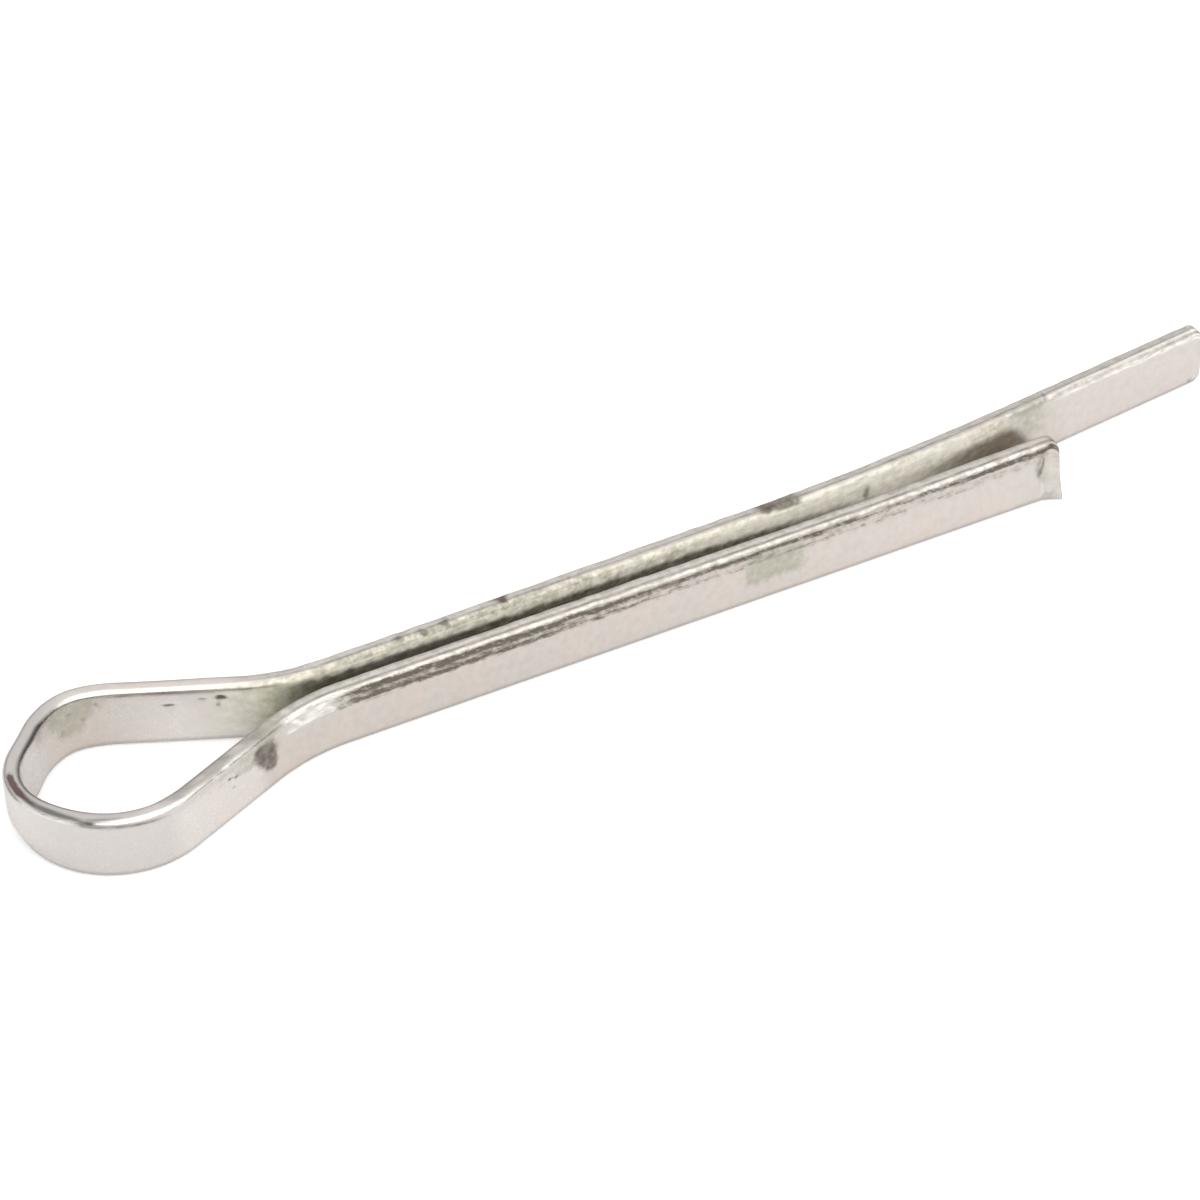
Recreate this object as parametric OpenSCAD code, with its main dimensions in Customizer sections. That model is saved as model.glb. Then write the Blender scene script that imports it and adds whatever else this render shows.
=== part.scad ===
// Cotter pin, bent from one length of flat steel strip with rolled edges.
// The strip stands on edge, so the whole pin lies in the XY plane and rests on its lower edge.
// +X runs along the shank from the eye to the leg ends, +Y points to the long leg, +Z is up.
// The origin is on the shank's axis at half height, where the rim of the hole stops the eye.

/* [Hole] */
// Diameter of the hole that the shank is pushed through
hole_d = 5; // [4.6:0.1:6]

/* [Strip] */
// Height of the strip, which is also the height of the whole pin
strip_h = 4; // [3:0.1:5]
// Thickness of the strip
strip_t = 1; // [0.8:0.05:1.3]
// Radius of the strip's rolled edges
edge_r = 0.35; // [0.15:0.01:0.38]

/* [Eye] */
// Inside radius of the eye's round end
eye_r = 4.7; // [4.2:0.05:6]
// Angle to the shank at which each side of the eye runs in
side_angle = 24; // [20:0.5:32]
// Radius of the hollow outside face where each side turns into its leg
neck_r = 11.5; // [9:0.5:14]
// How far the eye's round stands proud at its shoulder, where it meets the long leg's side
shoulder_out = 0.25; // [0:0.01:0.3]
// How far the round is flattened between that shoulder and its end
flank_in = 0.2; // [0:0.01:0.25]
// How far the round's end leans out over its own lower edge
end_lean = 0.45; // [0:0.01:0.5]

/* [Legs] */
// Gap between the legs at its narrowest, just past the neck
leg_gap = 1.15; // [0.6:0.05:1.6]
// Length from the rim of the hole to the end of the short leg
short_leg_l = 50.15; // [45:0.05:60]
// Outward lean of the short leg
short_leg_lean = 0.25; // [0:0.05:1]
// Length of the short leg's end that tilts in over its own lower edge
tilted_l = 13; // [5:0.5:20]
// How far the upper edge comes in at the end of that length
tilt_in = 0.33; // [0:0.01:0.4]
// How far the long leg reaches past the short one
long_leg_extra = 13.35; // [8:0.05:20]
// Outward lean of the long leg before it curves away
long_leg_lean = 0.5; // [0:0.05:1]
// Distance from the rim of the hole at which the long leg starts to curve away
curve_start = 30; // [20:0.5:32]
// Radius of that long curve, at the middle of the strip
curve_r = 180; // [120:5:220]
// Angle to the shank at which the long leg's end runs out
long_end_angle = 6.6; // [3:0.1:9]

/* [Long leg's cropped tip] */
// Radius of the tip's upper corner
tip_upper_r = 0.7; // [0.2:0.05:1]
// Radius of the tip's lower corner
tip_lower_r = 0.45; // [0.2:0.05:1]

/* [Short leg's sheared end] */
// Radius to which the shears rolled the end's upper corner over
rolled_corner_r = 0.7; // [0.3:0.05:1]
// Length of the hollow facet that they pressed into the outer face, at half height
facet_l = 1.45; // [1:0.05:3]
// Depth of that facet halfway to the end
facet_depth = 0.2; // [0:0.05:0.4]
// How far the lower corner of the end was dragged outwards as a burr
burr_out = 0.4; // [0:0.05:0.8]

/* [Fineness] */
// Turn of a bend from one cross-section to the next
bend_step = 5; // [3:1:10]
// Faces round each rolled edge
edge_faces = 4; // [3:1:8]
// Cross-sections along each end that was cut
end_rings = 12; // [6:1:16]

/* [Hidden] */
face_rows = 6; // Rows of faces up each flat side of the strip

mid_y = (leg_gap + strip_t) / 2; // From the shank's axis to the middle of each leg
eye_mid_r = eye_r + strip_t / 2;
neck_mid_r = neck_r + strip_t / 2;

// Each straight side of the eye is as long as it takes to bring the legs to their gap
side_l = (eye_mid_r * cos(side_angle) - neck_mid_r * (1 - cos(side_angle)) - mid_y) / sin(side_angle);

// From the eye's centre to where the legs run parallel
neck_end_x = (eye_mid_r + neck_mid_r) * sin(side_angle) + side_l * cos(side_angle);

// The hole's rim meets the outside face in the neck's hollow or, past the hollow, on the straight side
rim_angle = min(side_angle, acos((mid_y + neck_mid_r - hole_d / 2) / neck_r));
rim_past_hollow = hole_d / 2 - mid_y - neck_mid_r + neck_r * cos(rim_angle);
rim_to_neck_end = neck_r * sin(rim_angle) + rim_past_hollow / tan(side_angle);
eye_x = rim_to_neck_end - neck_end_x;

// Distances along X that each leg covers from the end of its neck, and the straights that fill them
short_leg_run = leg_run(short_leg_l, short_leg_lean);
long_leg_run = leg_run(curve_start, long_leg_lean);
curve_x = curve_r * (sin(long_end_angle) - sin(long_leg_lean));
long_end_run = (short_leg_l + long_leg_extra - curve_start - curve_x) / cos(long_end_angle);

function leg_run(reach, lean) = (reach - rim_to_neck_end - neck_mid_r * sin(lean)) / cos(lean);

// A path is a list of steps along the middle of the strip, from the eye's end on. A straight is
// [length, 0, pieces] and a bend is [radius, angle, pieces], to the left where the angle is positive.
short_path = concat(
    eye_steps(short_leg_lean),
    [[short_leg_run - tilted_l, 0, 1], [tilted_l - facet_l, 0, 4], [facet_l, 0, end_rings]]
);
long_path = concat(
    eye_steps(long_leg_lean),
    [
        [long_leg_run, 0, 1],
        bend_to(curve_r, long_end_angle - long_leg_lean, 0.15),
        [long_end_run - tip_upper_r, 0, 1],
        [tip_upper_r, 0, end_rings]
    ]
);

function eye_steps(lean) = [
    bend_to(eye_mid_r, -90 - side_angle, 1),
    [side_l, 0, 1],
    bend_to(neck_mid_r, side_angle + lean, 0.6)
];

// A bend whose pieces turn by a share of the usual step
function bend_to(radius, angle, share) = [radius, angle, ceil(abs(angle) / (bend_step * share))];

// A station is [x, y, heading, length of strip so far]: the one that a share of a step leads to
function onward(at, step, share) =
    step[1] == 0
        ? [at[0] + share * step[0] * cos(at[2]), at[1] + share * step[0] * sin(at[2]),
           at[2], at[3] + share * step[0]]
        : let (turn = share * step[1], side = sign(step[1]) * step[0])
          [at[0] + side * (sin(at[2] + turn) - sin(at[2])), at[1] - side * (cos(at[2] + turn) - cos(at[2])),
           at[2] + turn, at[3] + step[0] * abs(turn) * PI / 180];

// All stations of a path from step number n on
function stations(at, path, n = 0) =
    n == len(path)
        ? [at]
        : concat([for (k = [0 : path[n][2] - 1]) onward(at, path[n], k / path[n][2])],
                 stations(onward(at, path[n], 1), path, n + 1));

// Cross-section of the strip, as [distance to the outside, height]: a flat bar with four rolled
// edges and rows of points up its two sides. It runs anticlockwise from the lower edge's outer end,
// so each point and its mirror image are as far from the two ends of the list.
section = concat(
    corner(1, -1, 270),
    [for (k = [1 : face_rows - 1]) [strip_t / 2, side_height(k)]],
    corner(1, 1, 0),
    corner(-1, 1, 90),
    [for (k = [face_rows - 1 : -1 : 1]) [-strip_t / 2, side_height(k)]],
    corner(-1, -1, 180)
);

function side_height(k) = (2 * k / face_rows - 1) * (strip_h / 2 - edge_r);

function corner(out, up, from) = [
    for (k = [0 : edge_faces])
        let (turn = from + 90 * k / edge_faces)
            [out * (strip_t / 2 - edge_r) + edge_r * cos(turn), up * (strip_h / 2 - edge_r) + edge_r * sin(turn)]
];

// The eye was closed by hand, so its round isn't true. At a turn from its end, positive towards the long
// leg, the strip is shifted outwards by its shoulder and end and inwards by its flank, each fading away
// over some degrees to both sides. The end's shift falls to nothing at the lower edge.
function eye_shift(turn, height) =
    let (rise = min(max((height / strip_h + 0.5) / 0.4, 0), 1))
        shoulder_out * fading(turn, 82, 17) - flank_in * fading(turn, 40, 14)
            + end_lean * fading(turn, -3, 29) * rise * rise * (3 - 2 * rise);

function fading(turn, middle, width) = exp(-pow((turn - middle) / width, 2));

// A rounded corner draws an edge in along a quarter circle over the last of the strip
function drawn_in(left, radius) = left < radius ? radius - sqrt(pow(radius, 2) - pow(radius - left, 2)) : 0;

function height_left(height, left, upper_r, lower_r) =
    height * (1 - drawn_in(left, height > 0 ? upper_r : lower_r) * 2 / strip_h);

function tip_point(p, left) = [p[0], height_left(p[1], left, tip_upper_r, tip_lower_r)];

// The sheared end has its upper corner rolled over and a facet hollowed into the outer face, shorter
// towards both edges. At the lower edge the facet turns into a sharp burr that is dragged outwards.
function sheared_point(p, left) =
    let (
        up = max(2 * p[1] / strip_h, 0),
        down = max(-2 * p[1] / strip_h, 0),
        share = max(1 - left / (facet_l * (1 - 0.5 * pow(up, 2) - 0.25 * pow(down, 2))), 0),
        sharp = p[0] > 0 && p[1] < edge_r - strip_h / 2 + 0.001 ? 0.7 * pow(share, 2) : 0,
        out = p[0] + sharp * (strip_t / 2 - p[0]),
        height = p[1] - sharp * (strip_h / 2 + p[1]),
        face = strip_t / 2 - 4 * facet_depth * share * (1 - share) * (1 - down),
        tilt = tilt_in * max(1 - left / tilted_l, 0) * (p[1] / strip_h + 0.5)
    )
        [min(out, face) + burr_out * share * pow(down, 1.5) - tilt,
         height_left(height, left, rolled_corner_r, 0)];

// A ring of points round the strip at a station, given the outline that the strip has there
function ring(at, outline, mirrored = false) =
    let (flip = mirrored ? -1 : 1, turn = flip * at[3] / eye_mid_r * 180 / PI)
        [for (p = outline)
            let (out = p[0] + eye_shift(turn, p[1]))
                [at[0] - out * sin(at[2]), flip * (at[1] + out * cos(at[2])), p[1]]];

eye_end = [eye_x - eye_mid_r, 0, 90, 0];
short_stations = stations(eye_end, short_path);
long_stations = stations(eye_end, long_path);
short_total = short_stations[len(short_stations) - 1][3];
long_total = long_stations[len(long_stations) - 1][3];

// Rings from the short leg's end, round the eye, to the long leg's tip
rings = concat(
    [for (k = [len(short_stations) - 1 : -1 : 1])
        let (at = short_stations[k])
            ring(at, [for (p = section) sheared_point(p, short_total - at[3])], mirrored = true)],
    [for (at = long_stations)
        ring(at, [for (p = section) tip_point(p, long_total - at[3])])]
);

// One skin over all the rings, closed at both ends by rungs from each point to its mirror image
module swept(rings) {
    around = len(rings[0]);
    last = len(rings) - 1;
    skin = [
        for (n = [0 : last - 1], k = [0 : around - 1])
            let (next = (k + 1) % around)
                [n * around + k, (n + 1) * around + k, (n + 1) * around + next, n * around + next]
    ];
    start_cap = [for (k = [0 : around / 2 - 2]) [k, k + 1, around - 2 - k, around - 1 - k]];
    end_cap = [for (rung = start_cap) [for (k = [3 : -1 : 0]) last * around + rung[k]]];
    polyhedron(
        points = [for (one = rings) each one],
        faces = [
            for (four = concat(start_cap, skin, end_cap), half = [0, 1])
                half == 0 ? [four[0], four[1], four[2]] : [four[0], four[2], four[3]]
        ],
        convexity = 6
    );
}

module cotter_pin() {
    color("silver")
        swept(rings);
}

cotter_pin();
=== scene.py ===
# Cotter pin of zinc-plated steel strip, lying on a pale floor under soft studio light.
import math

import bpy
import numpy as np
from mathutils import Matrix, Vector


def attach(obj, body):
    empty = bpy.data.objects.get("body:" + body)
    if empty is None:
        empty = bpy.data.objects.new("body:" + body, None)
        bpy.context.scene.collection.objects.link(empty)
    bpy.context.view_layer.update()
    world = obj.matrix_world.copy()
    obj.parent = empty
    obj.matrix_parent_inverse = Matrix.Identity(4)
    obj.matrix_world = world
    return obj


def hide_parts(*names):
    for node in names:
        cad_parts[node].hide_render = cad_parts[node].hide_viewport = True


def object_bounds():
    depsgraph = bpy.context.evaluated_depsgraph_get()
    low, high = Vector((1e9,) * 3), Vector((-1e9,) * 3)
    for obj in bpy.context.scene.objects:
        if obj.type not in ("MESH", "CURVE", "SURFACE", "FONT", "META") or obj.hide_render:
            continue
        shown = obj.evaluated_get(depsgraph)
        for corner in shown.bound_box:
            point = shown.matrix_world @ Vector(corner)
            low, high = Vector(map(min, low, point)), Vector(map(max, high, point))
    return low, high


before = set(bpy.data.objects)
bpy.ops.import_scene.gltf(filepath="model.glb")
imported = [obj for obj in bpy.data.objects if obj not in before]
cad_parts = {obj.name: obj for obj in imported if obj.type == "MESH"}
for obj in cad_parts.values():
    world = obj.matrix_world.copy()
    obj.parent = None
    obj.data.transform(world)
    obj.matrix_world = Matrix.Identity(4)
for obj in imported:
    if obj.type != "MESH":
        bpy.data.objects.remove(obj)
cadBox = [list(corner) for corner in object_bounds()]
mm = 0.001
print("frame loaded")

# What a user would change on the pin. Sizes are in millimetres and degrees, the same as the solid's.
# A spot is (run, girth, half length, half height, strength). Its run is the length of strip from the eye's
# end, negative on the short leg. Its girth is the way round from the middle of the top, positive down the
# outer face and negative down the inner one. The relief is how far each thing stands out or lies in.
cotterPin = dict(
    strip=dict(height=4.0, thickness=1.0, edge=0.35),
    eye=dict(inside=4.7, sideAngle=24.0, neck=11.5, gap=1.15, hole=5.0,
             shoulderOut=0.25, shoulderAt=82, shoulderWidth=17, flankIn=0.2, flankAt=40, flankWidth=14,
             endLean=0.45, endAt=-3, endWidth=29),
    shortLeg=dict(reach=50.15, lean=0.25, tilted=13.0, tiltIn=0.33, corner=0.7,
                  facet=1.45, facetDepth=0.2, facetLessAbove=0.5, facetLessBelow=0.25,
                  burr=0.4, burrSharpness=0.7, fineEnd=2.4),
    longLeg=dict(reach=63.5, lean=0.5, curveStart=30.0, curve=180.0, endAngle=6.6,
                 upperCorner=0.7, lowerCorner=0.45, fineEnd=1.2),
    grid=dict(along=0.14, bend=0.13, ends=0.045, sideRows=22, edgeRows=8, topRows=2,
              crowding=0.65, capRings=4),
    relief=dict(faces=0.012, legEdges=0.022, eyeEdges=0.010, lip=0.022, scuffs=0.022, rubbed=0.040,
                pits=0.045, stains=0.008, creases=0.012, flattened=0.045, dent=0.08),
    pits=[
        (-13.15, 1.36, 0.20, 0.11, 0.85), (-13.65, 1.60, 0.20, 0.12, 0.95), (-13.4, 2.12, 0.17, 0.12, 0.55),
        (-29.0, 2.85, 0.18, 0.10, 0.6), (-22.0, 1.50, 0.24, 0.11, 0.6), (13.05, -1.54, 0.42, 0.085, 0.85),
        (14.9, -1.27, 0.30, 0.11, 0.75), (15.92, -1.19, 0.34, 0.17, 1.25), (15.75, -1.68, 0.19, 0.19, 0.6)],
    stains=[
        (-15.9, 1.45, 0.84, 0.56, 1.3), (-16.15, 2.10, 0.60, 0.62, 1.1), (-15.45, 1.15, 0.34, 0.34, 0.5),
        # The stains at runs -66.7, -66.15 and -66.45 are painted shadow under the burr and along the facet's
        # start
        (-16.4, 2.60, 0.34, 0.40, 0.9), (-66.7, 3.85, 0.70, 0.24, 0.4), (-66.15, 2.25, 0.28, 0.42, 0.75),
        (-66.45, 1.55, 0.16, 0.50, 0.6), (26.2, -0.20, 0.15, 0.28, 0.4), (27.65, -0.36, 0.17, 0.17, 1.3),
        (27.5, -0.10, 0.20, 0.16, 0.2), (29.15, 0.25, 0.20, 0.26, 0.4), (28.95, -0.15, 0.20, 0.22, 0.6),
        (30.4, 0.42, 0.70, 0.18, 0.4), (69.0, -0.10, 0.25, 0.30, 0.45), (80.2, -3.9, 0.3, 0.4, 0.35),
        (56.0, -1.60, 0.28, 0.55, 0.75), (8.2, -2.0, 0.30, 0.24, 0.50), (7.3, -1.4, 0.40, 0.18, 0.42),
        (6.9, -2.4, 0.30, 0.22, 0.42), (9.0, -1.2, 0.24, 0.22, 0.42), (-4.9, 0.52, 0.30, 0.10, 0.9)],
    rust=[
        (32.6, 0.25, 0.56, 0.38, 0.8), (32.65, -0.12, 0.24, 0.22, 0.6), (49.5, -0.05, 0.95, 0.50, 0.55),
        (-66.5, 2.9, 0.5, 0.7, 0.25), (-0.2, 0.12, 0.75, 0.17, 0.7)],
    tarnish=[
        (-16.4, 0.2, 1.1, 0.55, 0.9), (-14.6, 1.6, 0.7, 0.7, 0.32), (-22.0, 0.95, 0.8, 0.4, 0.5),
        (56.0, -1.55, 0.26, 0.5, 0.8)],
    # Glints are painted highlights
    glints=[
        (-66.3, 3.2, 0.12, 0.5, 0.35), (-13.0, 0.50, 0.30, 0.09, 0.8), (-12.2, 0.55, 0.20, 0.08, 0.6),
        (-9.6, 0.45, 0.45, 0.12, 0.6)],
)
strip, eye, grid = cotterPin["strip"], cotterPin["eye"], cotterPin["grid"]
shortLeg, longLeg, depth = cotterPin["shortLeg"], cotterPin["longLeg"], cotterPin["relief"]
halfHigh, halfThick = strip["height"] / 2, strip["thickness"] / 2


# Stations along a chain of straights (length, 0, spacing) and bends (radius, angle, spacing). Four columns:
# x, y, heading, length of strip so far. On a bend of radius r to the side s, a turn a moves the point from
# its heading h by s r (sin(h + a) - sin h, cos h - cos(h + a)).
def walkStrip(start, steps):
    at = np.array(start, float)
    walked = []
    for length, turn, spacing in steps:
        reach = length if turn == 0 else abs(turn) * length
        share = np.linspace(0, 1, max(3, round(reach / spacing)) + 1)[:, None]
        if turn == 0:
            moved = share * length * np.array([[math.cos(at[2]), math.sin(at[2]), 0]])
        else:
            side = math.copysign(length, turn)
            moved = np.hstack([side * (np.sin(at[2] + share * turn) - math.sin(at[2])),
                               side * (math.cos(at[2]) - np.cos(at[2] + share * turn)), share * turn])
        piece = at + np.hstack([moved, share * reach])
        walked.append(piece[:-1])
        at = piece[-1]
    return np.vstack(walked + [at[None]])


# Middle line of one half of the pin, from the middle of the eye's end: the eye's round, its straight side,
# the neck's bend and the leg. The side is as long as it takes to bring the leg to the gap. The short half is
# mirrored afterwards.
def halfPath(leg, isLong):
    eyeMid, neckMid = eye["inside"] + halfThick, eye["neck"] + halfThick
    midY = eye["gap"] / 2 + halfThick
    side, lean = math.radians(eye["sideAngle"]), math.radians(leg["lean"])
    sideRun = (eyeMid * math.cos(side) - neckMid * (1 - math.cos(side)) - midY) / math.sin(side)
    neckEnd = (eyeMid + neckMid) * math.sin(side) + sideRun * math.cos(side)
    rimAngle = math.acos((midY + neckMid - eye["hole"] / 2) / eye["neck"])
    rimToNeckEnd = eye["neck"] * math.sin(rimAngle)
    eyeX = rimToNeckEnd - neckEnd

    def straightRun(reach):  # length of the leg's straight whose end is this far past the rim of the hole
        return (reach - rimToNeckEnd - neckMid * math.sin(lean)) / math.cos(lean)

    fine, bend = grid["along"], grid["bend"]
    steps = [(eyeMid, -math.pi / 2 - side, bend), (sideRun, 0, fine), (neckMid, side + lean, bend)]
    if isLong:
        endAngle = math.radians(leg["endAngle"])
        curveX = leg["curve"] * (math.sin(endAngle) - math.sin(lean))
        steps += [(straightRun(leg["curveStart"]), 0, fine), (leg["curve"], endAngle - lean, fine)]
        endRun = (leg["reach"] - leg["curveStart"] - curveX) / math.cos(endAngle)
    else:
        endRun = straightRun(leg["reach"])
    steps += [(endRun - leg["fineEnd"], 0, fine), (leg["fineEnd"], 0, grid["ends"])]
    return walkStrip((eyeX - eyeMid, 0, math.pi / 2, 0), steps)


# Outline of the strip, anticlockwise from the middle of its lower edge, as [outward, up], and its normals.
# Each corner is a quarter circle of the edge radius. The flats between have rows that crowd towards them.
def stripOutline():
    radius, crowding = strip["edge"], grid["crowding"]
    parts, normals = [], []

    def corner(outside, above, start):  # centre plus radius times (cos, sin) over 90 degrees from the start
        turn = np.radians(start + 90 * np.linspace(0, 1, grid["edgeRows"] + 1))
        way = np.column_stack([np.cos(turn), np.sin(turn)])
        parts.append(np.array([outside * (halfThick - radius), above * (halfHigh - radius)]) + radius * way)
        normals.append(way)

    def flat(rows, start, end, way):  # even shares mixed with shares of (1 - cos) / 2
        share = np.arange(1, rows) / rows
        share = ((1 - crowding) * share + crowding * (0.5 - 0.5 * np.cos(math.pi * share)))[:, None]
        parts.append(np.array(start) + share * (np.array(end) - np.array(start)))
        normals.append(np.repeat([way], rows - 1, axis=0).astype(float))

    inner, tall = halfThick - radius, halfHigh - radius
    flat(grid["topRows"], (-inner, -halfHigh), (inner, -halfHigh), (0, -1))
    corner(1, -1, 270)
    flat(grid["sideRows"], (halfThick, -tall), (halfThick, tall), (1, 0))
    corner(1, 1, 0)
    flat(grid["topRows"], (inner, halfHigh), (-inner, halfHigh), (0, 1))
    corner(-1, 1, 90)
    flat(grid["sideRows"], (-halfThick, tall), (-halfThick, -tall), (-1, 0))
    corner(-1, -1, 180)
    return np.vstack(parts), np.vstack(normals)


# Girth of each point of the outline: the lengths from point to point added up, less that at the top's middle,
# with the sign turned
def girthOf(outline):
    step = np.hypot(*np.diff(outline, axis=0, append=outline[:1]).T)
    passed = np.concatenate([[0], np.cumsum(step)[:-1]])
    top = np.argmin(np.where(outline[:, 1] > 0, np.abs(outline[:, 0]), np.inf))
    return passed[top] - passed


# Smooth random field: random heights from -1 to 1 on a lattice of unit cells, eased from one to the next
def randomField(u, v, seed):
    cells = (509, 127)  # the field repeats after so many
    lattice = np.random.default_rng(seed).uniform(-1, 1, cells)
    iu, iv = np.floor(u).astype(int), np.floor(v).astype(int)
    fu, fv = u - iu, v - iv
    fu, fv = fu * fu * (3 - 2 * fu), fv * fv * (3 - 2 * fv)

    def at(a, b):  # height at one corner of the cell
        return lattice[np.mod(iu + a, cells[0]), np.mod(iv + b, cells[1])]

    return (at(0, 0) * (1 - fu) + at(1, 0) * fu) * (1 - fv) + (at(0, 1) * (1 - fu) + at(1, 1) * fu) * fv


def ease(low, high, value):  # 0 below low, 1 above high, smooth between
    share = np.clip((value - low) / (high - low), 0, 1)
    return share * share * (3 - 2 * share)


def band(value, low, high, soft):  # 1 between low and high, fading over soft on both sides
    return ease(low - soft, low, value) * (1 - ease(high, high + soft, value))


def bell(value, width):  # 1 at zero, falling to both sides as exp(-(value / width) squared)
    return np.exp(-(value / width) ** 2)


# One strip from the short leg's end round the eye to the long leg's end. Run, girth, the marks and the place
# in the cross-section, out and up, have a row for each station and a column for each point of the outline.
shortPath, longPath = halfPath(shortLeg, False), halfPath(longLeg, True)
flipped = shortPath[:0:-1] * [1, -1, -1, -1]
flipped[:, 2] += math.pi
stations = np.vstack([flipped, longPath])
outline, outlineNormal = stripOutline()
along = stations[:, 3:4]
run, girth = np.broadcast_arrays(along, girthOf(outline)[None])
out, up = np.repeat(outline.T[:, None], len(stations), axis=1)
shortEnd, longEnd = -along[0, 0], along[-1, 0]
onShort = along < 0
left = np.where(onShort, shortEnd + along, longEnd - along)  # length of strip left to the leg's end
print("strip", run.shape, "from", round(-shortEnd, 2), "to", round(longEnd, 2))


def sweep(*stops):  # a value that changes evenly with run from one (run, value) pair to the next
    places, values = zip(*stops)
    return np.interp(run, places, values)


# A bell curve of run over the length, times one of girth over the height
def spot(at, girthAt, length, height):
    return np.exp(-((run - at) / length) ** 2 - ((girth - girthAt) / height) ** 2)


def spots(kind):  # all spots of a kind added up, each times its strength
    return sum(strength * spot(*mark) for *mark, strength in cotterPin[kind])


def patch(lengthways, roundways):  # a band of run times a band of girth, each given as (low, high, soft)
    return band(run, *lengthways) * band(girth, *roundways)


def streak(path, width, strength):  # a bell curve of girth round a path of (run, girth) pairs, times a sweep
    return bell(girth - sweep(*path), width) * sweep(*strength)


# Spots, and two stained stretches on top of the long leg
pitted, stainedAndShadowed, rusted = spots("pits"), spots("stains"), spots("rust")
stainedAndShadowed += 0.62 * band(run + 0.4 * girth, 49.2, 51.2, 0.7) * band(girth, -0.42, 0.75, 0.22)
stainedAndShadowed += 0.44 * patch((21.5, 37.5, 1.2), (-0.62, -0.05, 0.1))

# Brown streak that crosses the outer rolled edge at the eye's end
patchyRoll = 0.9 + 0.6 * randomField((run + girth) / 0.5, girth / 0.4, 10)
rusted += patchyRoll * streak(((-2.6, 0.26), (-2, 0.22), (-1, 0.13), (0, 0.07), (0.8, 0.14)), 0.14,
                              ((-2.6, 0), (-1.4, 0.75), (-0.4, 1.2), (0.5, 1.1), (1.1, 0)))

# Dark streaks on both sides of it, the one along the inner rolled edge a painted dark reflection; a slate
# cast on top of the eye and the neck; and painted contact shade along the lower edges
slateAndShade = 0.85 * streak(((1.6, -0.64), (2.6, -0.50), (3.3, -0.42), (4.7, -0.42), (5.7, -0.62)), 0.14,
                      ((1.4, 0), (2.1, 0.8), (4.9, 1.0), (5.9, 0)))
slateAndShade += streak(
    ((-6.6, 0.24), (-5.4, 0.34), (-4.6, 0.46), (-4, 0.36), (-3, 0.28), (-2, 0.22), (-1, 0.13)), 0.15,
    ((-6.8, 0), (-5.8, 0.5), (-4.8, 1.0), (-3.9, 1.0), (-3, 1.4), (-1.6, 1.4), (-0.6, 0.5), (0, 0)))
slateAndShade += 0.24 * sweep((-9, 0), (-7, 1), (5.5, 1), (7.5, 0)) * band(girth, -0.4, 0.28, 0.12)
slateAndShade += 0.42 * patch((-15.8, -9.2, 1.0), (-0.2, 0.36, 0.16)) * patchyRoll
# Painted contact shade along the lower edges, where the pin meets the floor
slateAndShade += 0.28 * ease(3.85, 4.05, np.abs(girth))

# Rubbed band below the short leg's upper outer edge: a dark line under the highlight, a fainter one, a haze
waver = 0.07 * randomField(run / 1.7, 0.0, 5) + 0.05 * randomField(run / 0.5, 0.0, 6)
patchy = 0.8 + 0.4 * randomField((run + girth) / 0.7, girth / 0.6, 9)
firstAt = sweep((-67, 0.72), (-60, 0.74), (-45, 0.80), (-33, 0.80), (-29, 0.73), (-22, 0.72))
offFirst = np.clip(np.abs(girth - firstAt - 0.6 * waver) - 0.06, 0, None)
firstDark = bell(offFirst, 0.11) * patchy * sweep(
    (-67, 1.1), (-63.5, 1.15), (-60.5, 0.75), (-58, 0.6), (-52, 0.8), (-45, 0.75), (-41, 0.75), (-40, 0.5),
    (-39, 0.95), (-34, 1.1), (-29.5, 1.35), (-27, 1.2), (-24, 1.15), (-23, 1.1), (-22.4, 0.5), (-21.4, 0.2),
    (-20.5, 0))
secondDark = bell(girth - 1.40 - waver, 0.14) * patchy * sweep(
    (-66, 0), (-62, 0.2), (-46, 0.3), (-40, 0.35), (-36, 0.45), (-33, 0.55), (-29, 0.65), (-24, 0.6),
    (-22, 0.65), (-20.8, 0))
haze = band(girth, 0.8, 1.35, 0.4) * sweep(
    (-67, 0.18), (-60, 0.15), (-45, 0.2), (-38, 0.32), (-31, 0.50), (-23, 0.56), (-22, 0.4), (-20.5, 0))
scuffed = np.clip(firstDark + secondDark + haze, 0, 1)

# Dull film on the long leg's inner face, where it faces the short leg: from just below its upper edge down to
# where the painted shade in the gap has taken over
filmStart = 0.6 * ease(12.0, 17.2, run) + 0.4 * ease(17.3, 18.2, run)
filmTop = sweep((19, 0.20), (20.5, 0.02), (38, 0.02), (39.5, 0.20), (58, 0.20), (60, 0.30))
filmLow = sweep((18.5, 3.5), (20, 1.9), (21.5, 0.9), (23, 0.8), (30, 1.0), (34, 2.2))
film = filmStart * (1 - ease(64.0, 68.0, run)) * ease(0, 0.35, -girth - filmTop)
film = film * (1 - ease(0, 0.5, -girth - filmLow))

# Painted shade deeper in the gap, where the short leg shades the long leg's inner face, and a brown painted
# reflection of the short leg's dark inner face on the same face behind the short leg's end
deepAt = sweep((18, 0.80), (20, 0.84), (22, 0.96), (24, 1.06), (30, 1.20), (40, 1.28), (45, 1.40),
               (50, 1.54), (54, 1.72), (60, 2.4))
ragged = randomField(run / 0.45, girth / 0.5, 8) * sweep((22, 0.14), (26, 0.07))
gapShade = ease(-0.36, 0.30, -girth - deepAt + ragged) * sweep(
    (17.9, 0), (18.8, 0.34), (19.8, 0.62), (21, 0.82), (23, 0.94), (30, 0.95), (42, 0.92), (47, 0.85),
    (50, 0.75), (54, 0.5), (58, 0.3), (62, 0))
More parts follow.
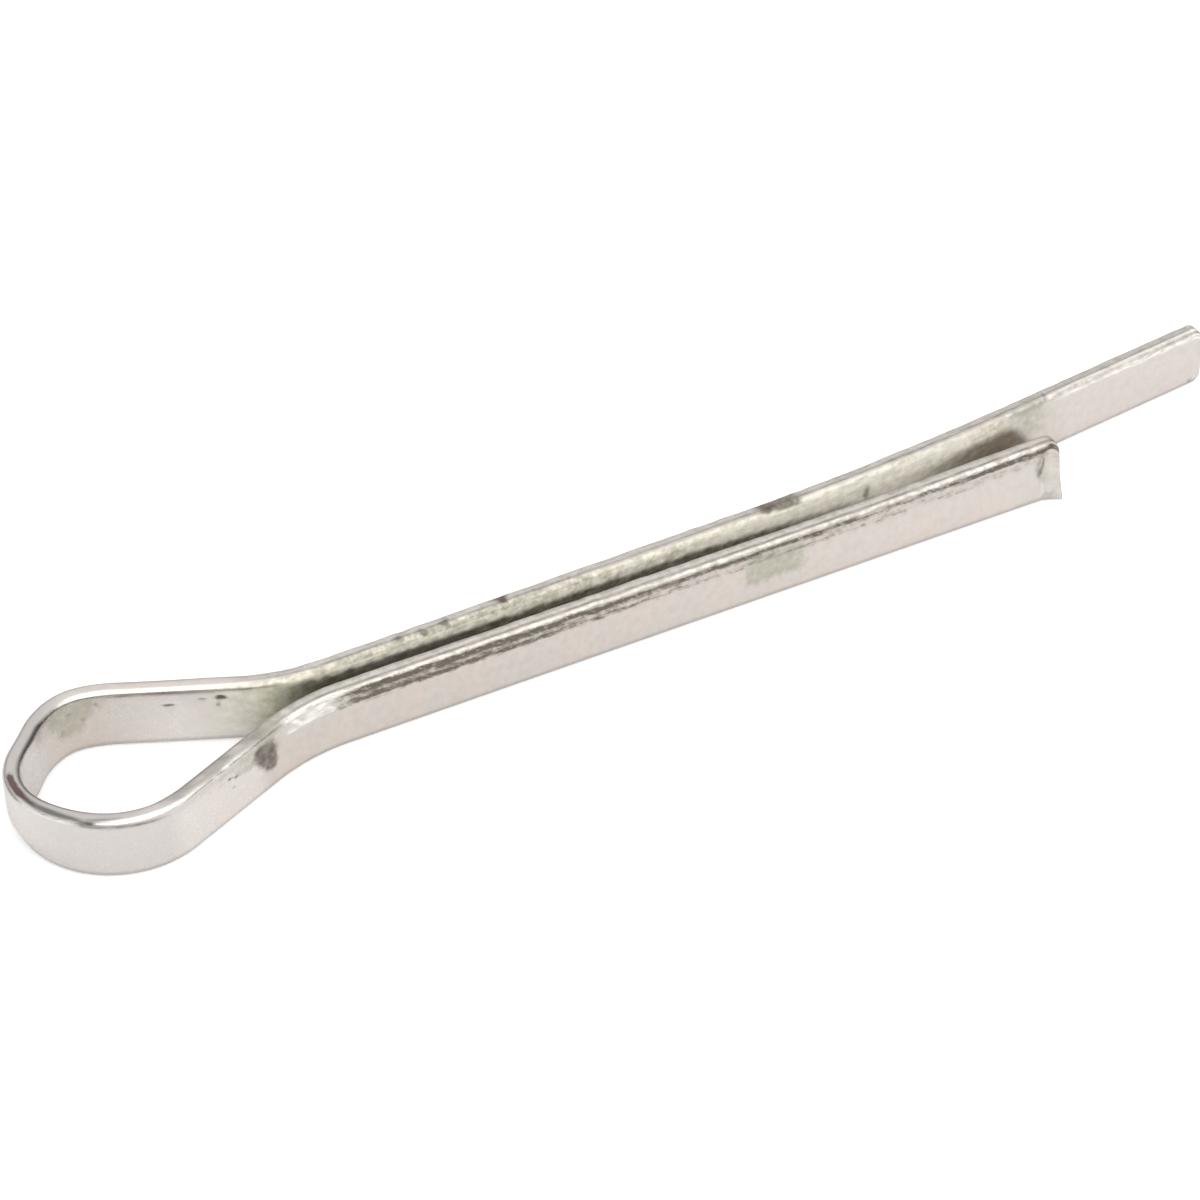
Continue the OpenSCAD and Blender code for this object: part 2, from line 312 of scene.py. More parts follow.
# Brown painted reflection of the short leg's dark inner face, on the long leg's inner face behind its end
darkReflectionTop = sweep((58, 1.6), (60, 1.35), (62, 1.1), (65.5, 0.95), (67.4, 1.2))
darkReflection = sweep((57.5, 0), (59.5, 0.3), (61, 0.55), (63, 0.85), (64.5, 0.95), (66, 1))
darkReflection = darkReflection * (1 - ease(65.9, 66.9, run + 0.8 * (girth + 1.3))) * ease(0, 0.8, -girth - darkReflectionTop)

# Thin dark lines in the creases beside the flattened stretches and highlights of the rolled edges, painted as
# shade and dirt
crease = streak(((-8.5, 0.82), (-7, 0.79), (-5.5, 0.72), (-4.2, 0.66)), 0.095,
                ((-9, 0), (-8, 1.5), (-5, 1.8), (-3.9, 0)))
crease += streak(((8, -0.70), (10, -0.72), (12, -0.69), (14.5, -0.72), (17, -0.68), (19, -0.70)), 0.065,
                 ((9.0, 0), (10.5, 1.2), (13, 0.9), (16, 0.7), (18, 1.2), (19.5, 0)))
crease += streak(((49.8, -0.54), (51.8, -0.54)), 0.09, ((49.8, 0), (50.3, 1.4), (51.3, 1.4), (51.7, 0)))
crease += streak(((63, -0.46), (80, -0.46)), 0.07, ((68, 0), (70, 0.3), (78, 0.5), (80, 0.8)))

# Olive tarnish: inside the eye, deep in the neck, round the big stain, in patches on both legs, and faint on
# the legs' tops
dull = ease(15.5, 19.0, np.abs(run))  # the legs are duller than the eye
olive = 0.72 * ease(4.9, 5.9, run + 0.6 * (girth + 0.8)) * (1 - ease(8.6, 10.2, run - 0.6 * (girth + 0.8)))
olive = olive * band(girth, -2.6, -0.85, 0.8) + spots("tarnish")
olive += sweep((16.5, 0), (17.5, 0.2), (17.8, 0.85), (20, 1.0), (22, 0.9), (25, 0)) * ease(0.6, 0.8, -girth)
olive += 0.5 * sweep((-17.5, 0), (-15.5, 1), (-12.5, 0.8), (-9.5, 0)) * band(girth, 0.9, 1.3, 0.7)
olive += 0.72 * patch((-49.6, -47.2, 1.6), (1.2, 2.6, 0.9))
olive += 0.65 * patch((50.5, 51.3, 0.6), (-0.5, 0.75, 0.25))
olive += 0.56 * sweep((66, 0), (67.3, 1), (68.5, 0.8), (69.5, 0)) * band(girth, -2.4, -0.5, 0.7)
olive += dull * band(girth, -0.7, 0.75, 0.1) * sweep(
    (-64, 0.28), (-50, 0.42), (-16, 0.40), (15, 0.22), (66, 0.25), (69, 0.32))

# Painted highlights: where the short leg leaves the neck, along the rolled edges, at the long leg's tip
feathered = 0.8 + 0.45 * randomField((run + girth) / 0.35, girth / 0.5, 11)
paintedHighlight = 0.7 * patch((-21.3, -17.9, 0.7), (0.34, 0.62, 0.10)) + spots("glints")
paintedHighlight += patch((-20.8, -18.2, 0.8), (0.78, 1.38, 0.15)) * np.clip(1.6 * feathered - 0.7, 0, 1)
paintedHighlight += 0.4 * patch((80.3, 81, 0.25), (-0.75, 0.3, 0.25))
paintedHighlight += streak(((67, -0.26), (80, -0.26)), 0.10, ((66.5, 0), (69.5, 0.2), (70.5, 0.6), (80.5, 0.7)))
paintedHighlight += feathered * streak(((67, -0.68), (80, -0.72)), 0.16,
                             ((68.5, 0), (70.5, 1.0), (75, 1.1), (80.2, 1.2)))
paintedHighlight += streak(((-15, 0.42), (-9, 0.40)), 0.12,
                 ((-15.3, 0), (-14.6, 0.3), (-12, 0.4), (-9, 0.5), (-8, 0)))
paintedHighlight += streak(((-4.6, 0.64), (-3, 0.56), (-1, 0.46)), 0.10,
                 ((-4.6, 0), (-4, 1.0), (-1.4, 1.0), (-0.5, 0)))
glitter = np.clip(2.2 * randomField(run / 0.3, girth / 0.3, 12) - 0.5, 0, 1)
paintedHighlight += 0.6 * glitter * patch((-64, -22, 2), (0.37, 0.53, 0.07))
paintedHighlight += 0.25 * patch((51.9, 57.5, 0.3), (-0.50, -0.28, 0.12))
paintedHighlight += 0.45 * patch((59.5, 62.5, 1.5), (-1.0, -0.6, 0.3)) * feathered

# Paler plating on parts of both faces and on the legs' tops, and cooler plating round the eye. The paler
# patch on the outer face at the eye's end is a painted highlight, and the paler film from run 47 to 62 is
# painted light that lifts the shade between the legs
paleAndLit = sweep((9, 0), (11.5, 0.4), (13.5, 0.85), (16, 0.8), (17.5, 0.5), (18.5, 0)) * ease(0.75, 1.0, -girth)
paleAndLit += 0.5 * band(run, -15, -10, 1.5) * ease(0.8, 1.2, girth)
paleAndLit += 0.32 * sweep((66, 0), (71, 1)) * ease(0.8, 1.0, -girth)
paleAndLit += 0.4 * sweep((-3.6, 0), (-1, 1), (0.5, 1), (2, 0)) * ease(0.6, 0.8, girth)
paleAndLit += 0.28 * sweep((-67, 1), (-55, 0.8), (-30, 0)) * ease(1.2, 1.9, girth)
paleAndLit += 0.12 * band(run + 0.6 * (girth + 0.8), 1.6, 4.6, 1.2) * ease(0.7, 0.9, -girth)
paleAndLit += 0.55 * patch((47, 62, 4), (-2.5, -0.7, 0.2))
paleAndLit += sweep((17, 0), (21, 0.55), (62, 0.5), (70, 0.55), (81, 0.6)) * band(girth, -0.05, 0.7, 0.12)
paleAndLit += band(girth, -0.75, 0.18, 0.1) * sweep(
    (-67, 0.5), (-60, 0.55), (-55, 0.8), (-22, 0.8), (-18, 0.4), (-15, 0))
cool = (1 - ease(5.0, 11.0, np.abs(run + 2.0))) * (girth > -0.7) + band(run, 0, 4.5, 1.5) * (girth < -0.6)

# Stretches where the rolled edges are flattened, a dark line painted as a reflection between the legs' tops
# and their highlights, the upper rolled edges
flattened = bell(np.abs(girth) - 0.40, 0.14) * sweep(
    (-9.3, 0), (-8.3, 1), (-5.2, 1), (-3, 0.3), (-2, 0), (6.2, 0), (7.5, 0.8), (10, 1), (19.3, 1), (20.3, 0))
flattened += bell(girth - 0.56, 0.22) * sweep((-21.8, 0), (-21, 0.9), (-18, 1), (-17, 0))
rimReflection = bell(girth - np.where(onShort, 0.23, -0.09), 0.075) * sweep(
    (-19, 1), (-16, 0), (16, 0), (19, 1), (40, 1), (52, 1.6))
rollEnd = halfThick - strip["edge"] + strip["edge"] * math.pi / 2  # girth where a rolled edge meets the side
roll = band(np.abs(girth), halfThick - strip["edge"] - 0.05, rollEnd, 0.05)
print("wear marked")

# Relief along the outline's normal: wavy faces and edges, a lip on the long leg's end, the scuffed band's
# grain, and what is worn or pressed in. It fades away towards the lower edges.
bump = depth["faces"] * randomField(run / 3.1, girth / 1.9, 1)
bump += depth["legEdges"] * randomField(run / 0.65, girth / 0.30, 2) * roll * dull
bump += depth["eyeEdges"] * randomField(run / 1.9, girth / 0.5, 7) * roll * (1 - dull)
bump += depth["lip"] * bell(girth + 0.66, 0.10) * sweep((68, 0), (70, 0.8), (78.6, 1.0), (79.6, 0))
bump += depth["scuffs"] * scuffed * randomField(run / 0.5, girth / 0.16, 3)
rubbed = patch((-21.3, -17.9, 0.6), (0.55, 1.45, 0.15))
bump += depth["rubbed"] * rubbed * randomField(run / 1.1, girth / 0.14, 4)
bump -= (depth["pits"] * pitted + depth["stains"] * stainedAndShadowed + depth["creases"] * crease
         + depth["flattened"] * flattened)
bump -= depth["dent"] * spot(69.1, -0.35, 0.2, 0.25)
bump *= 1 - ease(3.6, 4.3, np.abs(girth))
out = out + bump * outlineNormal[None, :, 0]
up = np.clip(up + bump * outlineNormal[None, :, 1], -halfHigh, halfHigh)


# How far a corner's quarter circle draws the edge in: radius - sqrt(radius squared - (radius - left) squared)
def drawnIn(radius):
    return radius - np.sqrt(np.clip(radius ** 2 - np.clip(radius - left, 0, None) ** 2, 0, None))


# Rounded corners: both of the long leg's cropped tip, and the rolled-over upper one of the short leg
upperIn = np.where(onShort, drawnIn(shortLeg["corner"]), drawnIn(longLeg["upperCorner"]))
lowerIn = np.where(onShort, 0, drawnIn(longLeg["lowerCorner"]))
cornerIn = np.where(up > 0, upperIn, lowerIn)

# Sheared end of the short leg: a facet is hollowed into the outer face, shorter towards both edges, and turns
# into a sharp burr dragged outwards at the lower edge. The leg's last stretch tilts in over its lower edge.
heightShare = up / halfHigh
high, low = np.maximum(heightShare, 0), np.maximum(-heightShare, 0)
facetHere = shortLeg["facet"] * (
    1 - shortLeg["facetLessAbove"] * high ** 2 - shortLeg["facetLessBelow"] * low ** 2)
share = np.where(onShort, np.clip(1 - left / facetHere, 0, 1), 0)
onLowerRoll = (out > 0) & (up < strip["edge"] - halfHigh + 0.001)
sharp = shortLeg["burrSharpness"] * share ** 2 * onLowerRoll
hollow = 4 * shortLeg["facetDepth"] * share * (1 - share) * (1 - low)
face = np.where(onShort, halfThick - hollow, np.inf)
tilting = np.clip(1 - left / shortLeg["tilted"], 0, None)
tilt = onShort * shortLeg["tiltIn"] * tilting * (heightShare + 1) / 2
out = np.minimum(out + sharp * (halfThick - out), face) + shortLeg["burr"] * share * low ** 1.5 - tilt
up = (up - sharp * (halfHigh + up)) * (1 - cornerIn / halfHigh)

# Bare metal on that facet, and a painted shadow line along its start
cut = (girth > 0.5) * (girth < 3.9) * ease(0.0, 0.05, share)
facetEdgeShadow = 0.7 * onShort * bell(left - facetHere - 0.10, 0.20) * band(girth, 0.7, 1.8, 0.5)

# Eye closed by hand: at a turn from its end, in degrees, the strip is shifted outwards at the shoulder and
# the end and inwards at the flank, each as a bell curve. The end's shift falls to nothing at the lower edge.
eyeTurn = np.degrees(run / (eye["inside"] + halfThick))
out = out + (eye["shoulderOut"] * bell(eyeTurn - eye["shoulderAt"], eye["shoulderWidth"])
             - eye["flankIn"] * bell(eyeTurn - eye["flankAt"], eye["flankWidth"])
             + eye["endLean"] * bell(eyeTurn - eye["endAt"], eye["endWidth"]) * ease(-1.0, -0.2, heightShare))

# Points of the strip in millimetres, kept inside the solid's box
normalX, normalY = -np.sin(stations[:, 2:3]), np.cos(stations[:, 2:3])
points = np.stack([stations[:, 0:1] + out * normalX, stations[:, 1:2] + out * normalY, up], axis=-1)
points = np.clip(points, np.array(cadBox[0]) / mm, np.array(cadBox[1]) / mm)


# Closed skin over a grid of rings: each cap is rings drawn in by even shares to the strip's middle plane, and
# rungs between opposite points. The marks go on its points, four to an attribute, and so do run and girth.
def buildStrip(name, rings, marks, material):
    around, capRings = rings.shape[1], grid["capRings"]

    def capped(end):  # rings from an end's own towards its middle plane
        middle = (end + end[::-1]) / 2
        share = np.arange(1, capRings + 1)[:, None, None] / (capRings + 0.5)
        return end[None] + share * (middle - end)[None]

    def withCaps(value):  # values at all points as one flat row, an end's own repeated over its cap
        rows = np.concatenate([np.repeat(value[:1], capRings, 0), value, np.repeat(value[-1:], capRings, 0)])
        return rows.reshape(-1).astype(np.float32)

    allRings = np.concatenate([capped(rings[0])[::-1], rings, capped(rings[-1])])
    total = len(allRings)
    ring, step = np.meshgrid(np.arange(total - 1), np.arange(around), indexing="ij")
    following = (step + 1) % around
    quads = np.stack([ring * around + step, (ring + 1) * around + step,
                      (ring + 1) * around + following, ring * around + following], axis=-1).reshape(-1, 4)
    rung = np.arange(around // 2 - 1)
    cap = np.stack([rung, rung + 1, around - 2 - rung, around - 1 - rung], axis=-1)
    faces = np.vstack([quads, cap, (total - 1) * around + cap[:, ::-1]])
    mesh = bpy.data.meshes.new(name)
    mesh.from_pydata((allRings.reshape(-1, 3) * mm).tolist(), [], faces.tolist())
    for label, four in marks.items():
        attribute = mesh.attributes.new(label, "FLOAT_COLOR", "POINT")
        attribute.data.foreach_set("color", withCaps(np.clip(np.stack(four, axis=-1), 0, 1)))
    attribute = mesh.attributes.new("skin", "FLOAT_VECTOR", "POINT")
    attribute.data.foreach_set("vector", withCaps(np.stack([run, girth, 0 * girth], axis=-1)))
    mesh.polygons.foreach_set("use_smooth", np.ones(len(faces), bool))
    mesh.update()
    mesh.materials.append(material)
    piece = bpy.data.objects.new(name, mesh)
    bpy.context.scene.collection.objects.link(piece)
    return piece


def addNode(tree, kind, **settings):  # a node with these of its properties set
    node = tree.nodes.new(kind)
    for name, value in settings.items():
        setattr(node, name, value)
    return node


def join(tree, source, node, socket):  # a link from an output, or a plain value set on the socket
    if isinstance(source, bpy.types.NodeSocket):
        tree.links.new(source, node.inputs[socket])
    else:
        node.inputs[socket].default_value = source


def calculate(tree, operation, *values):  # one Math node over the values
    node = addNode(tree, "ShaderNodeMath", operation=operation)
    for socket, value in enumerate(values):
        join(tree, value, node, socket)
    return node.outputs[0]


def noise(tree, vector, scale, detail, rough):  # Blender's own noise, 0 to 1
    node = addNode(tree, "ShaderNodeTexNoise")
    for socket, value in (("Vector", vector), ("Scale", scale), ("Detail", detail), ("Roughness", rough)):
        join(tree, value, node, socket)
    return node.outputs["Fac"]


def spread(tree, value, low, high):  # low to high becomes 0 to 1, eased
    node = addNode(tree, "ShaderNodeMapRange", interpolation_type="SMOOTHSTEP")
    for socket, given in (("Value", value), ("From Min", low), ("From Max", high)):
        join(tree, given, node, socket)
    return node.outputs[0]


# A node group with named sockets, given as (name, kind): the group, what it is given, and where it puts out
def newGroup(name, inputs, outputs):
    group = bpy.data.node_groups.new(name, "ShaderNodeTree")
    for label, kind in inputs:
        group.interface.new_socket(label, in_out="INPUT", socket_type="NodeSocket" + kind)
    for label, kind in outputs:
        group.interface.new_socket(label, in_out="OUTPUT", socket_type="NodeSocket" + kind)
    return group, group.nodes.new("NodeGroupInput").outputs, group.nodes.new("NodeGroupOutput")


# A fading mask broken up by grain: the mask plus broken times (grain - 0.5), eased, and 0 where the mask is 0
def makeWorn():
    sockets = [("Vector", "Vector"), ("Mask", "Float"), ("Scale", "Float"), ("Broken", "Float")]
    group, given, made = newGroup("wornMask", sockets, [("Mask", "Float")])
    grain = noise(group, given["Vector"], given["Scale"], 4.0, 0.62)
    shift = calculate(group, "MULTIPLY", calculate(group, "SUBTRACT", grain, 0.5), given["Broken"])
    eaten = spread(group, calculate(group, "ADD", given["Mask"], shift), 0.12, 0.88)
    present = spread(group, given["Mask"], 0.0, 0.12)
    group.links.new(calculate(group, "MULTIPLY", eaten, present), made.inputs["Mask"])
    return group


# Grain drawn out on the skin: noise over ((run + slant girth) / length, girth / height), with more contrast
def makeDrawn():
    sockets = [("Skin", "Vector"), ("Length", "Float"), ("Height", "Float"), ("Slant", "Float")]
    group, given, made = newGroup("drawnGrain", sockets, [("Grain", "Float")])
    axes = addNode(group, "ShaderNodeSeparateXYZ")
    group.links.new(given["Skin"], axes.inputs[0])
    merged = addNode(group, "ShaderNodeCombineXYZ")
    sheared = calculate(group, "MULTIPLY", axes.outputs[1], given["Slant"])
    slanted = calculate(group, "ADD", axes.outputs[0], sheared)
    join(group, calculate(group, "DIVIDE", slanted, given["Length"]), merged, 0)
    join(group, calculate(group, "DIVIDE", axes.outputs[1], given["Height"]), merged, 1)
    grain = noise(group, merged.outputs[0], 1.0, 3.0, 0.6)
    group.links.new(spread(group, grain, 0.32, 0.68), made.inputs["Grain"])
    return group


worn, drawn = makeWorn(), makeDrawn()

# Colours of the plating, of what lies on it, of what shows where it is worn, and of painted shade, painted
# reflections and painted highlights
tones = dict(
    zincWarm=(0.665, 0.598, 0.555), zincEven=(0.635, 0.600, 0.562), mottle=(0.50, 0.46, 0.42),
    cool=(0.66, 0.622, 0.60), paleAndLit=(0.82, 0.78, 0.745), edgeGrain=(0.34, 0.32, 0.28),
    olive=(0.42, 0.415, 0.325), slateAndShade=(0.10, 0.098, 0.09),
    gapShade=(0.07, 0.062, 0.038), darkReflection=(0.145, 0.108, 0.066),
    filmLight=(0.99, 0.945, 0.83), filmDark=(0.53, 0.49, 0.385), filmOlive=(0.46, 0.475, 0.345),
    filmLit=(0.99, 0.965, 0.87), cutLight=(0.70, 0.67, 0.62), cutDark=(0.58, 0.54, 0.49),
    scuff=(0.12, 0.10, 0.075), fleckHighlight=(0.66, 0.62, 0.56), paintedHighlight=(0.93, 0.91, 0.85),
    crease=(0.12, 0.10, 0.08), stain=(0.085, 0.067, 0.05), rust=(0.09, 0.053, 0.042),
    pit=(0.08, 0.06, 0.045),
)

zinc = bpy.data.materials.new("zincPlate")
zinc.use_nodes = True
tree = zinc.node_tree
shader = tree.nodes["Principled BSDF"]
where = addNode(tree, "ShaderNodeTexCoord").outputs["Object"]
skin = addNode(tree, "ShaderNodeAttribute", attribute_name="skin").outputs["Vector"]


def masks(name):  # the four marks stored in an attribute
    node = addNode(tree, "ShaderNodeAttribute", attribute_name=name)
    colours = addNode(tree, "ShaderNodeSeparateColor")
    tree.links.new(node.outputs["Color"], colours.inputs[0])
    return [*colours.outputs, node.outputs["Alpha"]]


def times(a, b):
    return calculate(tree, "MULTIPLY", a, b)


def plus(a, b):
    return calculate(tree, "ADD", a, b)


def less(a, b):
    return calculate(tree, "SUBTRACT", a, b)


def larger(a, b):
    return calculate(tree, "MAXIMUM", a, b)


def speckle(scale, detail, rough):  # noise on the piece's own coordinates, in metres
    return noise(tree, where, scale, detail, rough)


def grainOn(length, height, slant=0.0):  # the drawn-out grain, with its sizes in millimetres
    node = addNode(tree, "ShaderNodeGroup", node_tree=drawn)
    for socket, value in (("Skin", skin), ("Length", length), ("Height", height), ("Slant", slant)):
        join(tree, value, node, socket)
    return node.outputs["Grain"]


def wornOn(mask, scale, broken):  # the mask, broken up
    node = addNode(tree, "ShaderNodeGroup", node_tree=worn)
    for socket, value in (("Vector", where), ("Mask", mask), ("Scale", scale), ("Broken", broken)):
        join(tree, value, node, socket)
    return node.outputs["Mask"]


def layer(under, share, over):  # the colour underneath, mixed by a share with the colour or tone over it
    node = addNode(tree, "ShaderNodeMix", data_type="RGBA")
    for socket, value in ((0, share), (6, under), (7, over)):
        join(tree, (*tones[value], 1.0) if isinstance(value, str) else value, node, socket)
    return node.outputs[2]


# The marks, in the order in which the pin's attributes hold them
scuffAt, gapShadeAt, stainAndShadowAt, filmAt = masks("wearAndShade")
pitAt, paintedDarkLinesAt, cutAt, dullAt = masks("edges")
coolAt, oliveAt, rustAt, paleAndLitAt = masks("tint")
slateAndShadeAt, darkReflectionAt, rollAt, paintedHighlightAt = masks("more")

cloud = spread(tree, speckle(420.0, 3.0, 0.5), 0.3, 0.7)
cloudSmall = spread(tree, speckle(1900.0, 4.0, 0.6), 0.3, 0.7)
filmSpeckle = spread(tree, speckle(2300.0, 3.0, 0.6), 0.38, 0.62)
filmCloud = plus(times(grainOn(0.90, 0.38, -0.5), 0.55), times(filmSpeckle, 0.45))
longGrain = grainOn(1.1, 0.16)
shortGrain = grainOn(0.24, 0.45, 0.9)
crossGrain = grainOn(0.30, 2.0, 0.6)

# Plating: warm and even zinc in clouds, cooler parts, paler parts partly painted light, grain on the rolled
# edges, tarnish, and slate with a painted dark reflection and painted contact shade
colour = layer("zincWarm", cloud, "zincEven")
colour = layer(colour, times(cloudSmall, 0.14), "mottle")
colour = layer(colour, coolAt, "cool")
colour = layer(colour, paleAndLitAt, "paleAndLit")
colour = layer(colour, times(rollAt, plus(times(crossGrain, 0.14), times(longGrain, 0.16))), "edgeGrain")
oliveMask = wornOn(oliveAt, 2300.0, 1.3)
colour = layer(colour, times(oliveMask, 0.7), "olive")
# Slate, with a painted dark reflection and painted contact shade
colour = layer(colour, times(slateAndShadeAt, 0.85), "slateAndShade")

# What lies on it: the film with its own tarnish, the painted shade in the gap, the brown painted reflection
filmMask = wornOn(filmAt, 1700.0, 0.35)
filmColour = layer("filmLight", filmCloud, "filmDark")
filmColour = layer(filmColour, times(oliveAt, 0.6), "filmOlive")
# Paler film where light is painted over the shade between the legs
filmColour = layer(filmColour, times(paleAndLitAt, 0.8), "filmLit")
colour = layer(colour, filmMask, filmColour)
# Painted shade in the gap between the legs
gapShadeMask = wornOn(gapShadeAt, 1500.0, 0.3)
colour = layer(colour, times(gapShadeMask, times(plus(filmCloud, 5.0), 0.16)), "gapShade")
# Brown painted reflection behind the short leg's end
colour = layer(colour, times(darkReflectionAt, times(plus(filmCloud, 8.0), 0.108)), "darkReflection")

# Bare cut metal, the scuffed band with its painted highlight flecks, painted highlights, painted shade and
# dirt in the creases, stains with painted shadow at the sheared end, rust and pits
cutColour = layer("cutLight", filmCloud, "cutDark")
colour = layer(colour, times(cutAt, 0.8), cutColour)
scuffGrain = plus(plus(times(longGrain, 0.45), times(shortGrain, 0.2)), times(cloudSmall, 0.35))
scuffGrain = times(less(scuffGrain, 0.5), 0.75)
scuffMask = times(spread(tree, plus(scuffAt, scuffGrain), 0.1, 0.9), spread(tree, scuffAt, 0.0, 0.2))
colour = layer(colour, times(scuffMask, 0.9), "scuff")
# Bright flecks painted as small highlights in the scuffed band
fleckHighlight = times(spread(tree, grainOn(0.30, 0.30, 0.9), 0.70, 1.0), spread(tree, scuffAt, 0.15, 0.5))
colour = layer(colour, times(fleckHighlight, 0.35), "fleckHighlight")
# Painted highlights
highlightPaint = times(paintedHighlightAt, spread(tree, longGrain, -0.2, 0.6))
colour = layer(colour, highlightPaint, "paintedHighlight")
# Painted dark lines: shade in the creases, a reflection line and a shadow line
colour = layer(colour, times(paintedDarkLinesAt, times(plus(longGrain, 0.8), 0.45)), "crease")
# Stains, and painted shadow at the short leg's sheared end
stainAndShadowMask = wornOn(stainAndShadowAt, 2400.0, 0.8)
colour = layer(colour, times(stainAndShadowMask, times(plus(cloudSmall, 3.0), 0.235)), "stain")
rustMask = wornOn(rustAt, 2800.0, 0.7)
colour = layer(colour, times(rustMask, 0.93), "rust")
pitMask = wornOn(pitAt, 4200.0, 0.5)
colour = layer(colour, times(pitMask, 0.95), "pit")
tree.links.new(colour, shader.inputs["Base Color"])

# Metal where nothing lies on it, less under the film, the marks, the painted shade and reflection and the
# painted highlights; rougher on the legs, under the film, where it is marked and in the painted shade of the
# gap
marked = larger(stainAndShadowMask, larger(rustMask, pitMask))
markedAndShaded = larger(marked, larger(gapShadeMask, darkReflectionAt))
metal = times(less(1.0, times(filmMask, 0.95)), less(1.0, larger(times(markedAndShaded, 0.85), times(highlightPaint, 0.6))))
tree.links.new(metal, shader.inputs["Metallic"])
rough = plus(times(cloudSmall, 0.08), 0.25)
rough = plus(rough, times(dullAt, plus(times(cloudSmall, 0.12), 0.10)))
rough = plus(rough, plus(times(filmMask, 0.15), times(marked, 0.2)))
rough = plus(rough, times(gapShadeMask, 0.3))
tree.links.new(rough, shader.inputs["Roughness"])
shader.inputs["Specular IOR Level"].default_value = 0.25

# Fine relief
height = plus(times(speckle(6000.0, 2.0, 0.6), 0.08), times(cloudSmall, plus(times(dullAt, 0.9), 0.2)))
height = plus(height, times(scuffMask, times(shortGrain, 1.6)))
height = plus(height, times(rollAt, times(filmCloud, 1.3)))
height = less(height, times(marked, 1.2))
relief = addNode(tree, "ShaderNodeBump")
relief.inputs["Strength"].default_value = 0.6
relief.inputs["Distance"].default_value = 0.02 * mm
tree.links.new(height, relief.inputs["Height"])
tree.links.new(relief.outputs[0], shader.inputs["Normal"])
print("plating made", len(tree.nodes), "nodes")

# Painted dark lines: shade and dirt in creases, the reflection line on the legs' tops, the facet's shadow
# line
paintedDarkLines = np.maximum(crease, 0.9 * rimReflection) + facetEdgeShadow
marks = dict(wearAndShade=(scuffed, gapShade, stainedAndShadowed, film), edges=(pitted, paintedDarkLines, cut, dull),
             tint=(cool, olive, rusted, paleAndLit), more=(slateAndShade, darkReflection, roll * dull, paintedHighlight))
pin = buildStrip("cotter_pin_strip", points, marks, zinc)
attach(pin, "root")
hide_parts("cotter_pin")
print("pin built", len(pin.data.polygons), "faces")

# Floor of pale paper, half width in metres. It gives off some light: glow is what the camera sees of it, and
# glossGlow what the pin mirrors.
floorPaper = dict(halfWidth=3, white=0.8, rough=0.9, glow=0.35, glossGlow=0.12)
floorMesh = bpy.data.meshes.new("floor")
floorCorners = np.array([(-1, -1, 0), (1, -1, 0), (1, 1, 0), (-1, 1, 0)]) * floorPaper["halfWidth"]
floorMesh.from_pydata((floorCorners - [0, 0, halfHigh * mm]).tolist(), [], [(0, 1, 2, 3)])
floor = bpy.data.objects.new("floor", floorMesh)
bpy.context.scene.collection.objects.link(floor)
paper = bpy.data.materials.new("floorPaper")
paper.use_nodes = True
paperTree = paper.node_tree
paperShader = paperTree.nodes["Principled BSDF"]
white = floorPaper["white"]
paperShader.inputs["Base Color"].default_value = (white, white, white, 1)
paperShader.inputs["Roughness"].default_value = floorPaper["rough"]
paperShader.inputs["Specular IOR Level"].default_value = 0.0
paperShader.inputs["Emission Color"].default_value = (1, 1, 1, 1)
rays = addNode(paperTree, "ShaderNodeLightPath").outputs
mirrored = calculate(paperTree, "MULTIPLY", rays["Is Glossy Ray"], floorPaper["glossGlow"])
glow = calculate(paperTree, "MULTIPLY_ADD", rays["Is Camera Ray"], floorPaper["glow"], mirrored)
paperTree.links.new(glow, paperShader.inputs["Emission Strength"])
floorMesh.materials.append(paper)

# Studio round the pin. Its brightness follows the height of a direction less a share of how far it points
# sideways: dark up to the horizon, a bright strip just over it, a dimmer one, and bright from there on up.
# A soft box lights the pin from the front, with its place, target and size in metres.
studio = dict(strength=1.15, sideways=0.25,
              steps=((0.0, 0.04), (0.14, 0.85), (0.3, 0.3), (0.45, 0.85), (0.6, 1.0), (1.0, 1.0)),
              softBox=dict(place=(0.03, -0.34, 0.26), target=(0.02, 0, 0), size=(0.86, 0.42), power=1.5))
world = bpy.data.worlds.new("studio")
bpy.context.scene.world = world
world.use_nodes = True
worldTree = world.node_tree
background = worldTree.nodes["Background"]
direction = addNode(worldTree, "ShaderNodeSeparateXYZ")
worldTree.links.new(addNode(worldTree, "ShaderNodeTexCoord").outputs["Generated"], direction.inputs[0])
sideways = calculate(worldTree, "ABSOLUTE", direction.outputs["X"])
lowered = calculate(worldTree, "MULTIPLY_ADD", sideways, -studio["sideways"], direction.outputs["Z"])
ramp = addNode(worldTree, "ShaderNodeValToRGB")
ramp.color_ramp.interpolation = "EASE"
